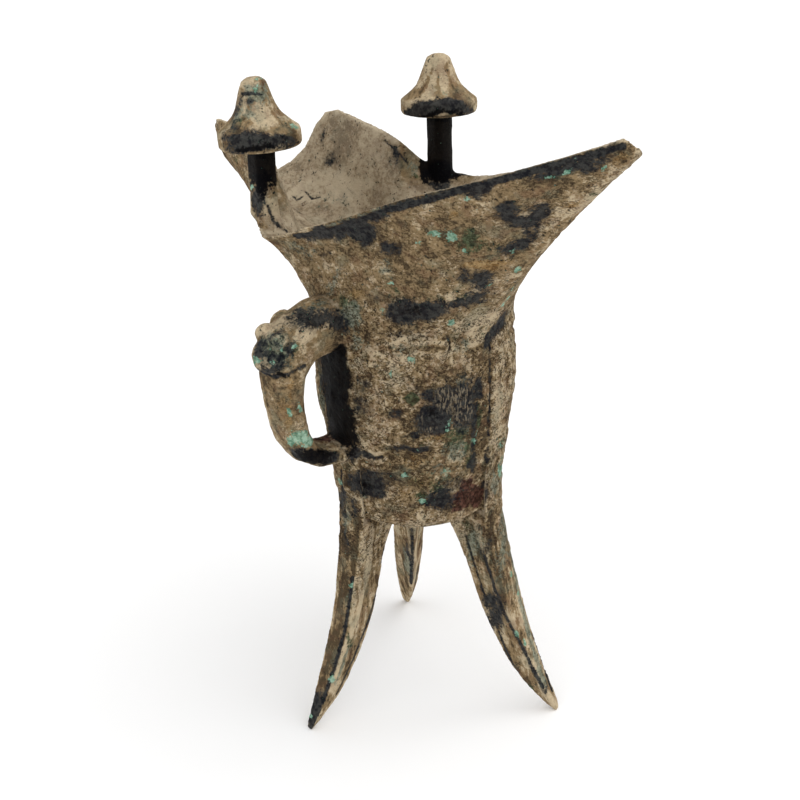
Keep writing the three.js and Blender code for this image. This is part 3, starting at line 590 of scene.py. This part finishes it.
def line_field(cloud, kind):
    """Like a stain, but along the lines that are drawn from pixel to pixel."""
    field = np.zeros(len(cloud.points))
    for half_width, strength, pixels in LINES.get(kind, []):
        hits = hits_along(pixels)
        for (start, _, pixel), (end, _, _) in zip(hits, hits[1:]):
            along = end - start
            length = np.linalg.norm(along)
            if length < 1e-6 or length > LINE_GAP:
                continue
            near = cloud.near(start, length + 2 * pixel * half_width)
            offset = cloud.points[near] - start
            share = np.clip(offset @ along / length**2, 0, 1)
            away = np.linalg.norm(offset - share[:, None] * along, axis=1) / (pixel * half_width)
            field[near] = np.maximum(field[near], strength * ease(*LINE_FADE, away))
    return field


def lozenge_field(points, kind):
    """Green fill and pale border of the raised lozenge in the middle of each panel."""
    azimuth, radius, z = places(points)
    outside = ease(BODY_RADIUS - 4, BODY_RADIUS - 2, radius)
    field = np.zeros(len(points))
    for middle in PANEL_MIDDLES:
        across = np.radians(angle_between(azimuth, middle)) * BODY_RADIUS / LOZENGE_HALF
        away = across + np.abs(z - LOZENGE_HEIGHT) / LOZENGE_HALF
        mark = ease(1.2, 0.85, away) if kind == "moss" else ease(1.1, 1.3, away) * ease(2.0, 1.6, away)
        field = np.maximum(field, 1.2 * mark * outside)
    return field


def hidden_field(cloud, normals, kind, seed):
    """Stains scattered over the sides that face away from the camera."""
    count, size, strength = HIDDEN_STAINS[kind]
    field = np.zeros(len(normals))
    towards = np.array(CAMERA_PLACE - AXIS) / MM - cloud.points
    towards /= np.linalg.norm(towards, axis=1)[:, None]
    hidden = ease(0.1, -0.2, (normals * towards).sum(1))
    random = np.random.default_rng(seed)
    for _ in range(count):
        angle = random.uniform(0, 2 * math.pi)
        height = random.uniform(*HIDDEN_HEIGHTS)
        radius = random.uniform(*HIDDEN_RADII)
        reach = size * random.uniform(*HIDDEN_SCALES)
        flat = random.uniform(*HIDDEN_FLATNESS)
        start = Vector((radius * math.cos(angle), radius * math.sin(angle), height))
        place, facing, _, _ = cad_tree.find_nearest(start * MM + AXIS)
        centre = np.array(place - AXIS) / MM
        near = cloud.near(centre, STAIN_SEARCH * reach)
        away = np.linalg.norm((cloud.points[near] - centre) / (1, 1, flat), axis=1) / reach
        add_stain(field, near, away, normals[near] @ np.array(facing), strength)
    return field * hidden


def stain_fields(points, normals, kinds):
    """For each kind of patina, how strongly each point carries it; the dark, black and brown kinds also
    carry some painted shade and shadow.
    """
    cloud = Cloud(points)
    bent = Cloud(warped(points))
    fields = {}
    for kind in kinds:
        seed = HIDDEN_SEED + list(STAINS).index(kind)
        field = np.maximum(ellipse_field(bent, normals, kind), hidden_field(bent, normals, kind, seed))
        if kind in ("moss", "cream"):
            field = np.maximum(field, lozenge_field(points, kind))
        fields[kind] = np.maximum(field, line_field(cloud, kind))
    return fields


# Vessel mesh: the solid is cast again on a fine grid and smoothed, so that its faces melt together.
VOXEL = 0.52 * MM
MELT_STEPS = 5
MOST_TRIANGLES = 192000

# Weathering: how far each form stands off the casting or goes into it, in millimetres.
WORN_AWAY = 0.12
LUMP = 0.6
SMOOTH_GRAIN = 0.06
ROUGH_GRAIN = 0.26
CRUST = 0.42
PIT = 0.3
TOOTH = 0.22
LINE = 0.22
MINT_CRUST = 0.16
FLAKED_OFF = 0.14

# How large the forms of the weathering are, in millimetres, with the octaves and the seed of their noise.
LUMPS = (14, 2, 11)
GRAINS = (2.2, 2, 21)
CRUSTS = (5.5, 3, 31)
WEAR = (9, 2, 5)
PIT_SPACING = 2.1
PIT_SEED = 51


def add_modifier(piece, kind, **settings):
    modifier = piece.modifiers.new(kind.lower(), kind)
    for name, value in settings.items():
        setattr(modifier, name, value)


def apply_modifiers(piece):
    graph = bpy.context.evaluated_depsgraph_get()
    made = bpy.data.meshes.new_from_object(piece.evaluated_get(graph))
    piece.modifiers.clear()
    piece.data = made


def read_vectors(mesh, name):
    flat = np.empty(len(mesh.vertices) * 3, np.float32)
    mesh.vertices.foreach_get(name, flat)
    return flat.reshape(-1, 3).astype(float)


def read_points(mesh):
    """The vertices, in millimetres from the middle line and the floor."""
    return (read_vectors(mesh, "co") - np.array(AXIS)) / MM


def read_normals(mesh):
    return read_vectors(mesh, "normal")


def write_points(mesh, points):
    """Moves the vertices, but never out of the box of the CAD model."""
    moved = (points * MM + np.array(AXIS)).astype(np.float32)
    low, high = (np.array(corner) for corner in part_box(NODE))
    mesh.vertices.foreach_set("co", np.clip(moved, low, high).astype(np.float32).ravel())
    mesh.update()


def comb_area(azimuth, z):
    """Where fine teeth stand on the cup, beside the middle of each panel."""
    area = np.zeros(len(z))
    for middle in PANEL_MIDDLES:
        for side in (-1, 1):
            away = angle_between(azimuth, middle + COMB_AWAY * side)
            area = np.maximum(area, ease(COMB_HALF_ANGLE, COMB_HALF_ANGLE - 3, away))
    return area * ease(COMB_LOW, COMB_LOW + 3, z) * ease(COMB_HIGH, COMB_HIGH - 3, z)


def comb_field(points):
    """The fine raised teeth, from 0 to 1 across each tooth."""
    azimuth, _, z = places(points)
    along = np.radians(azimuth) * BODY_RADIUS + TOOTH_LEAN * (z - TOOTH_LEVEL)
    return (0.5 + 0.5 * np.cos(2 * math.pi * along / TOOTH_PITCH)) * comb_area(azimuth, z)


def relief(points, normals):
    """Ornament that is left of the casting, in millimetres, on the outside of the cup."""
    left = ease(0.35, 0.6, fractal(points, *WEAR))
    return TOOTH * comb_field(points) * left * on_body(points, normals)


def surface_height(points, normals):
    """How far the weathered surface stands off the casting, in millimetres."""
    rough = roughness_of(points, normals)
    feet = ease(0.3, 4, points[:, 2])
    lumps = LUMP * (fractal(points, *LUMPS) - 0.5)
    grain = (SMOOTH_GRAIN + ROUGH_GRAIN * rough) * (fractal(points, *GRAINS) - 0.5)
    crust = CRUST * rough * ease(0.48, 0.54, fractal(points, *CRUSTS))
    pits = PIT * rough**2 * ease(0.36, 0.12, cell_distance(points, PIT_SPACING, PIT_SEED))
    stains = stain_fields(points, normals, ("dark", "black", "mint"))
    bare = ease(0.35, 0.6, np.maximum(stains["dark"], stains["black"]))
    mint = ease(0.4, 0.7, stains["mint"])
    cloud = Cloud(points)
    ridge = ease(0.5, 1.0, line_field(cloud, "cream"))
    groove = ease(0.5, 1.1, line_field(cloud, "dark"))
    height = lumps + (grain + crust) * (1 - 0.5 * bare) - pits * (1 - bare)
    height += MINT_CRUST * mint - FLAKED_OFF * bare * rough + LINE * ridge - LINE * groove
    return height * feet - WORN_AWAY + relief(points, normals)


def make_vessel():
    """The CAD solid with its faces melted together and the weathered surface on it."""
    mesh = cad.data.copy()
    mesh.materials.clear()
    vessel = bpy.data.objects.new("vessel", mesh)
    bpy.context.scene.collection.objects.link(vessel)
    add_modifier(vessel, "REMESH", mode="VOXEL", voxel_size=VOXEL)
    add_modifier(vessel, "SMOOTH", factor=0.5, iterations=MELT_STEPS)
    apply_modifiers(vessel)
    points = read_points(vessel.data)
    normals = read_normals(vessel.data)
    write_points(vessel.data, points + normals * surface_height(points, normals)[:, None])
    triangles = sum(len(face.vertices) - 2 for face in vessel.data.polygons)
    add_modifier(vessel, "TRIANGULATE")
    add_modifier(vessel, "DECIMATE", ratio=min(1, MOST_TRIANGLES / triangles))
    apply_modifiers(vessel)
    for face in vessel.data.polygons:
        face.use_smooth = True
    return vessel


def add_attribute(mesh, name, values):
    attribute = mesh.attributes.new(name, "FLOAT", "POINT")
    attribute.data.foreach_set("value", values.astype(np.float32))


def convexity(mesh, points, normals):
    """Above 0 on edges and bumps, below 0 in hollows, as a share of a strong edge."""
    strong_edge = 0.12
    rounds = 3
    pairs = np.empty(len(mesh.edges) * 2, np.int32)
    mesh.edges.foreach_get("vertices", pairs)
    first, second = pairs.reshape(-1, 2).T
    count = np.bincount(pairs, minlength=len(points)).astype(float)

    def mean_of_neighbours(values):
        total = np.bincount(first, values[second], len(points))
        total += np.bincount(second, values[first], len(points))
        return total / count

    middle = np.stack([mean_of_neighbours(points[:, axis]) for axis in range(3)], axis=1)
    bent = ((points - middle) * normals).sum(1)
    for _ in range(rounds):
        bent = 0.5 * bent + 0.5 * mean_of_neighbours(bent)
    return np.clip(bent / strong_edge, -1, 1)


def stain_vessel(mesh):
    """Keeps on each vertex how much of each patina lies there, some of it painted shade and shadow."""
    points = read_points(mesh)
    normals = read_normals(mesh)
    for kind, field in stain_fields(points, normals, STAINS).items():
        add_attribute(mesh, kind, field)
    add_attribute(mesh, "leg", ease(CUP_BASE + 4, CUP_BASE - 8, points[:, 2]))
    add_attribute(mesh, "rough", roughness_of(points, normals))
    add_attribute(mesh, "inside", inside_cup(points, normals))
    add_attribute(mesh, "shaft", on_shaft(points))
    # edge lightens convex edges and darkens hollows in the colour: wear and dirt, with painted highlight
    # and painted shade.
    add_attribute(mesh, "edge", convexity(mesh, points, normals))


# Noises of the bronze: size of the marks in millimetres, detail, roughness, seed, and how flat they are.
NOISES = {
    "broad": (9, 3.0, 0.55, 4.0, 1.0),
    "middling": (3.0, 4.0, 0.6, 12.0, 1.3),
    "fine": (1.2, 5.0, 0.7, 5.0, 1.3),
    "streaks": (2.2, 3.0, 0.6, 13.0, 0.18),
    "green_tint": (6.5, 4.0, 0.62, 15.0, 1.0),
    "red_tint": (5.0, 4.0, 0.62, 16.0, 1.0),
    "specks": (1.1, 4.0, 0.65, 7.0, 1.0),
    "ragged": (1.9, 4.0, 0.62, 1.0, 1.0),
    "crumbly": (0.65, 3.0, 0.6, 2.0, 1.0),
    "tones": (1.6, 4.0, 0.66, 3.0, 1.0),
    "strokes": (0.5, 2.0, 0.5, 8.0, 0.36),
    "worms": (1.35, 2.0, 0.55, 9.0, 1.35),
    "clusters": (4.0, 3.0, 0.6, 11.0, 1.0),
    "pits": (1.05, 3.0, 0.6, 14.0, 1.4),
    "stray_green": (2.2, 4.0, 0.6, 10.0, 1.0),
}


class Shader:
    """Short ways to add shader nodes to one material."""

    def __init__(self, name):
        self.material = bpy.data.materials.new(name)
        self.material.use_nodes = True
        self.tree = self.material.node_tree
        self.tree.nodes.clear()

    def node(self, kind, **settings):
        made = self.tree.nodes.new("ShaderNode" + kind)
        for name, value in settings.items():
            setattr(made, name, value)
        return made

    def put(self, socket, value):
        """Links the value to the socket, or sets it there if it is a plain number or colour."""
        if isinstance(value, bpy.types.NodeSocket):
            self.tree.links.new(value, socket)
        else:
            socket.default_value = value

    def attribute(self, name):
        return self.node("Attribute", attribute_name=name).outputs["Fac"]

    def math(self, operation, *values):
        made = self.node("Math", operation=operation)
        for socket, value in zip(made.inputs, values):
            self.put(socket, value)
        return made.outputs[0]

    def times(self, first, second):
        return self.math("MULTIPLY", first, second)

    def plus(self, total, value, factor):
        """The total and a number of times the value."""
        return self.math("MULTIPLY_ADD", value, factor, total)

    def most(self, first, second):
        return self.math("MAXIMUM", first, second)

    def noise(self, name):
        """One of the noises in the table."""
        size, detail, roughness, seed, flat = NOISES[name]
        scale = 1 / (size * MM)
        spread = self.node("VectorMath", operation="MULTIPLY_ADD")
        self.tree.links.new(self.node("TexCoord").outputs["Object"], spread.inputs[0])
        spread.inputs[1].default_value = (scale, scale, scale * flat)
        spread.inputs[2].default_value = (17.3 * seed, 9.1 * seed, 5.7 * seed)
        made = self.node("TexNoise")
        self.tree.links.new(spread.outputs[0], made.inputs["Vector"])
        made.inputs["Scale"].default_value = 1.0
        made.inputs["Detail"].default_value = detail
        made.inputs["Roughness"].default_value = roughness
        return made.outputs["Fac"]

    def centred(self, name):
        """A noise around 0."""
        return self.math("SUBTRACT", self.noise(name), 0.5)

    def step(self, value, low, high):
        """Smooth step from 0 at low to 1 at high."""
        made = self.node("MapRange", interpolation_type="SMOOTHSTEP")
        self.put(made.inputs["Value"], value)
        made.inputs["From Min"].default_value = low
        made.inputs["From Max"].default_value = high
        return made.outputs["Result"]

    def blend(self, share, first, second):
        """Mix of two plain numbers, by the sockets that the node keeps for them."""
        made = self.node("Mix", data_type="FLOAT")
        for socket, value in zip((0, 2, 3), (share, first, second)):
            self.put(made.inputs[socket], value)
        return made.outputs[0]

    def mix(self, share, first, second):
        """Mix of two colours, by the sockets that the node keeps for them."""
        made = self.node("Mix", data_type="RGBA")
        for socket, value in zip((0, 6, 7), (share, first, second)):
            self.put(made.inputs[socket], value)
        return made.outputs[2]

    def surface(self, base, roughness, specular):
        """The surface itself, as the material's output."""
        made = self.node("BsdfPrincipled")
        self.put(made.inputs["Base Color"], base)
        self.put(made.inputs["Roughness"], roughness)
        made.inputs["Specular IOR Level"].default_value = specular
        self.put(self.node("OutputMaterial").inputs["Surface"], made.outputs["BSDF"])
        return made


def colour(red, green, blue):
    """A screen colour, 0 to 255, as the linear colour that shaders take."""

    def linear(value):
        value /= 255
        return value / 12.92 if value <= 0.04045 else ((value + 0.055) / 1.055) ** 2.4

    return (linear(red), linear(green), linear(blue), 1.0)


EARTH = {
    "deep": colour(82, 69, 51),
    "tan": colour(140, 119, 88),
    "light": colour(190, 172, 142),
    "pit": colour(46, 35, 26),
    "inside": colour(178, 166, 145),
    "inside_spot": colour(112, 96, 76),
    "soot": colour(56, 51, 45),
    "green_tint": colour(110, 114, 96),
    "red_tint": colour(114, 84, 64),
}

# Each layer of patina, from the lowest to the topmost: its two tones and how much it covers. The black and
# dark layers also carry painted shadow of the handle on the cup beside it.
LAYERS = {
    "ochre": (colour(122, 90, 52), colour(170, 142, 98), 0.75),
    "sage": (colour(84, 92, 80), colour(142, 148, 130), 0.75),
    "rust": (colour(38, 18, 14), colour(98, 66, 56), 0.95),
    "moss": (colour(34, 48, 32), colour(82, 94, 68), 0.85),
    "dark": (colour(13, 17, 25), colour(56, 57, 56), 0.95),
    "black": (colour(2, 2, 5), colour(16, 14, 13), 0.99),
}
MINT = (colour(80, 126, 104), colour(156, 190, 168))

EARTH_ROUGHNESS = 0.9
BARE_ROUGHNESS = 0.55
BRONZE_SPECULAR = 0.05
BUMP_STRENGTH = 0.9
BUMP_HEIGHT = 0.6 * MM


class Bronze(Shader):
    """A shader with the noises that mottle the patina and crumble the edges of its stains."""

    def __init__(self, name):
        super().__init__(name)
        self.rough = self.attribute("rough")
        self.fine = self.centred("fine")
        self.ragged = self.centred("ragged")
        self.crumbly = self.centred("crumbly")
        self.tones = self.step(self.noise("tones"), 0.38, 0.62)

    def patch(self, name, low, high, broken=1.7, crumbled=1.3):
        """Where a stain lies, with an edge broken up by noise."""
        field = self.plus(self.attribute(name), self.ragged, broken)
        return self.step(self.plus(field, self.crumbly, crumbled), low, high)


def clay_tone(shader):
    """From brown metal, near 0, to pale clay, near 1, mottled at several sizes and streaked on the legs,
    lighter on convex edges and darker in hollows, partly as wear and dirt and partly as painted highlight
    and shade.
    """
    tone = shader.plus(0.5, shader.centred("broad"), 1.3)
    tone = shader.plus(tone, shader.centred("middling"), 1.1)
    tone = shader.plus(tone, shader.fine, shader.plus(0.6, shader.rough, 2.2))
    streak = shader.times(shader.centred("streaks"), shader.attribute("leg"))
    tone = shader.plus(tone, streak, 2.6)
    tone = shader.plus(tone, shader.attribute("cream"), 0.55)
    # Brown darkens the clay: real brown stains, and painted shade on the flare below the rim.
    tone = shader.plus(tone, shader.attribute("brown"), -0.6)
    # Convex edges come out lighter, as rubbed wear with some painted highlight, and hollows darker, as dirt
    # with some painted shade.
    return shader.plus(tone, shader.attribute("edge"), 0.5)


def clay_colour(shader, tone):
    """Clay with broad hints of green and red, greyer inside the cup and with brown specks there."""
    base = shader.mix(shader.step(tone, 0.08, 0.46), EARTH["deep"], EARTH["tan"])
    base = shader.mix(shader.step(tone, 0.52, 0.86), base, EARTH["light"])
    for name in ("green_tint", "red_tint"):
        hint = shader.step(shader.noise(name), 0.5, 0.66)
        base = shader.mix(shader.times(hint, 0.4), base, EARTH[name])
    speck = shader.plus(shader.noise("specks"), tone, -0.35)
    speck = shader.times(shader.step(speck, 0.28, 0.42), 0.6)
    inner = shader.mix(speck, EARTH["inside"], EARTH["inside_spot"])
    return shader.mix(shader.times(shader.attribute("inside"), 0.62), base, inner)


def lay_patina(shader, base):
    """The colour with soot round each dark stain and the stains on it, among them the painted shadow of the
    handle, and where the metal is bare.
    """
    smoke = shader.most(shader.attribute("dark"), shader.attribute("black"))
    smoke = shader.step(shader.plus(smoke, shader.ragged, 0.8), 0.0, 0.7)
    base = shader.mix(shader.times(smoke, 0.55), base, EARTH["soot"])
    masks = {}
    for name, (deep, pale, cover) in LAYERS.items():
        masks[name] = shader.patch(name, 0.28, 0.72)
        base = shader.mix(shader.times(masks[name], cover), base, shader.mix(shader.tones, deep, pale))
    shaft = shader.times(shader.patch("shaft", 0.2, 0.45), 0.98)
    base = shader.mix(shaft, base, LAYERS["black"][0])
    return base, shader.most(shader.most(masks["dark"], masks["black"]), shaft)


def teeth_mask(shader):
    """Fine teeth on the dark patch: short pale upright strokes."""
    stroke = shader.step(shader.noise("strokes"), 0.5, 0.58)
    return shader.times(stroke, shader.step(shader.attribute("whisker"), 0.2, 0.7))


def hollow_mask(shader, bare):
    """Worm-like hollows in clusters, and pits, most of them where the crust is rough."""
    ridge = shader.math("ABSOLUTE", shader.centred("worms"))
    cluster = shader.step(shader.noise("clusters"), 0.42, 0.54)
    worm = shader.times(shader.step(ridge, 0.052, 0.02), cluster)
    pit = shader.step(shader.noise("pits"), 0.41, 0.375)
    hollow = shader.times(shader.most(worm, pit), shader.step(shader.rough, 0.05, 0.65))
    return shader.times(hollow, shader.plus(1.0, bare, -0.7))


def corrosion_mask(shader):
    """Green corrosion, in its stains and as stray specks."""
    stray = shader.step(shader.noise("stray_green"), 0.7, 0.75)
    return shader.most(shader.patch("mint", 0.42, 0.66, 1.1, 1.9), shader.times(stray, 0.6))


def earth_bump(shader, hollow, teeth, green):
    """Normal that is bumpy with earth grains, hollows, teeth and corrosion."""
    height = shader.times(shader.fine, shader.plus(0.2, shader.rough, 1.2))
    height = shader.plus(height, hollow, -0.45)
    height = shader.plus(height, shader.crumbly, shader.plus(0.1, shader.rough, 0.5))
    height = shader.plus(height, teeth, 0.2)
    height = shader.plus(height, green, 0.15)
    bump = shader.node("Bump")
    bump.inputs["Strength"].default_value = BUMP_STRENGTH
    bump.inputs["Distance"].default_value = BUMP_HEIGHT
    shader.put(bump.inputs["Height"], height)
    return bump.outputs["Normal"]


def make_bronze():
    """Excavated bronze: clay, then patina with some painted shade and shadow in it, teeth, hollows filled
    with earth, and green corrosion on top.
    """
    shader = Bronze("excavated_bronze")
    base, bare = lay_patina(shader, clay_colour(shader, clay_tone(shader)))
    teeth = teeth_mask(shader)
    hollow = hollow_mask(shader, bare)
    green = corrosion_mask(shader)
    base = shader.mix(shader.times(teeth, 0.32), base, EARTH["light"])
    base = shader.mix(shader.times(hollow, 0.82), base, EARTH["pit"])
    base = shader.mix(shader.times(green, 0.88), base, shader.mix(shader.tones, *MINT))
    surface = shader.surface(base, shader.blend(bare, EARTH_ROUGHNESS, BARE_ROUGHNESS), BRONZE_SPECULAR)
    shader.put(surface.inputs["Normal"], earth_bump(shader, hollow, teeth, green))
    return shader.material


vessel = make_vessel()
stain_vessel(vessel.data)
vessel.data.materials.append(make_bronze())
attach(vessel, "root")
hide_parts(NODE)


# Studio: a pale paper floor, whose half width is in metres, and two broad soft lights. Each light has its
# azimuth, its height and how wide it is, in degrees, and its strength.
FLOOR_HALF = 9.0
PAPER = colour(250, 250, 250)
PAPER_ROUGHNESS = 0.95
PAPER_SPECULAR = 0.1
LIGHTS = {
    "key": (35, 58, 70, 1.25),
    "fill": (-70, 40, 60, 0.4),
}
ROOM_LIGHT = 0.78


def make_floor():
    mesh = bpy.data.meshes.new("floor")
    corners = [(FLOOR_HALF * x, FLOOR_HALF * y, 0) for x, y in ((-1, -1), (1, -1), (1, 1), (-1, 1))]
    mesh.from_pydata(corners, [], [(0, 1, 2, 3)])
    floor = bpy.data.objects.new("floor", mesh)
    bpy.context.scene.collection.objects.link(floor)
    shader = Shader("pale_paper")
    shader.surface(PAPER, PAPER_ROUGHNESS, PAPER_SPECULAR)
    mesh.materials.append(shader.material)


def add_sun(name, azimuth, height, width, strength):
    data = bpy.data.lights.new(name, "SUN")
    data.angle = math.radians(width)
    data.energy = strength
    light = bpy.data.objects.new(name, data)
    bpy.context.scene.collection.objects.link(light)
    around = math.radians(azimuth)
    above = math.radians(height)
    level = math.cos(above)
    towards = Vector((math.cos(around) * level, math.sin(around) * level, math.sin(above)))
    light.rotation_euler = towards.to_track_quat("Z", "Y").to_euler()


def make_studio():
    make_floor()
    world = bpy.data.worlds.new("studio")
    bpy.context.scene.world = world
    world.use_nodes = True
    background = world.node_tree.nodes["Background"]
    background.inputs["Color"].default_value = (1.0, 1.0, 1.0, 1.0)
    background.inputs["Strength"].default_value = ROOM_LIGHT
    for name, settings in LIGHTS.items():
        add_sun(name, *settings)
    bpy.context.scene.view_settings.view_transform = "Standard"


make_studio()
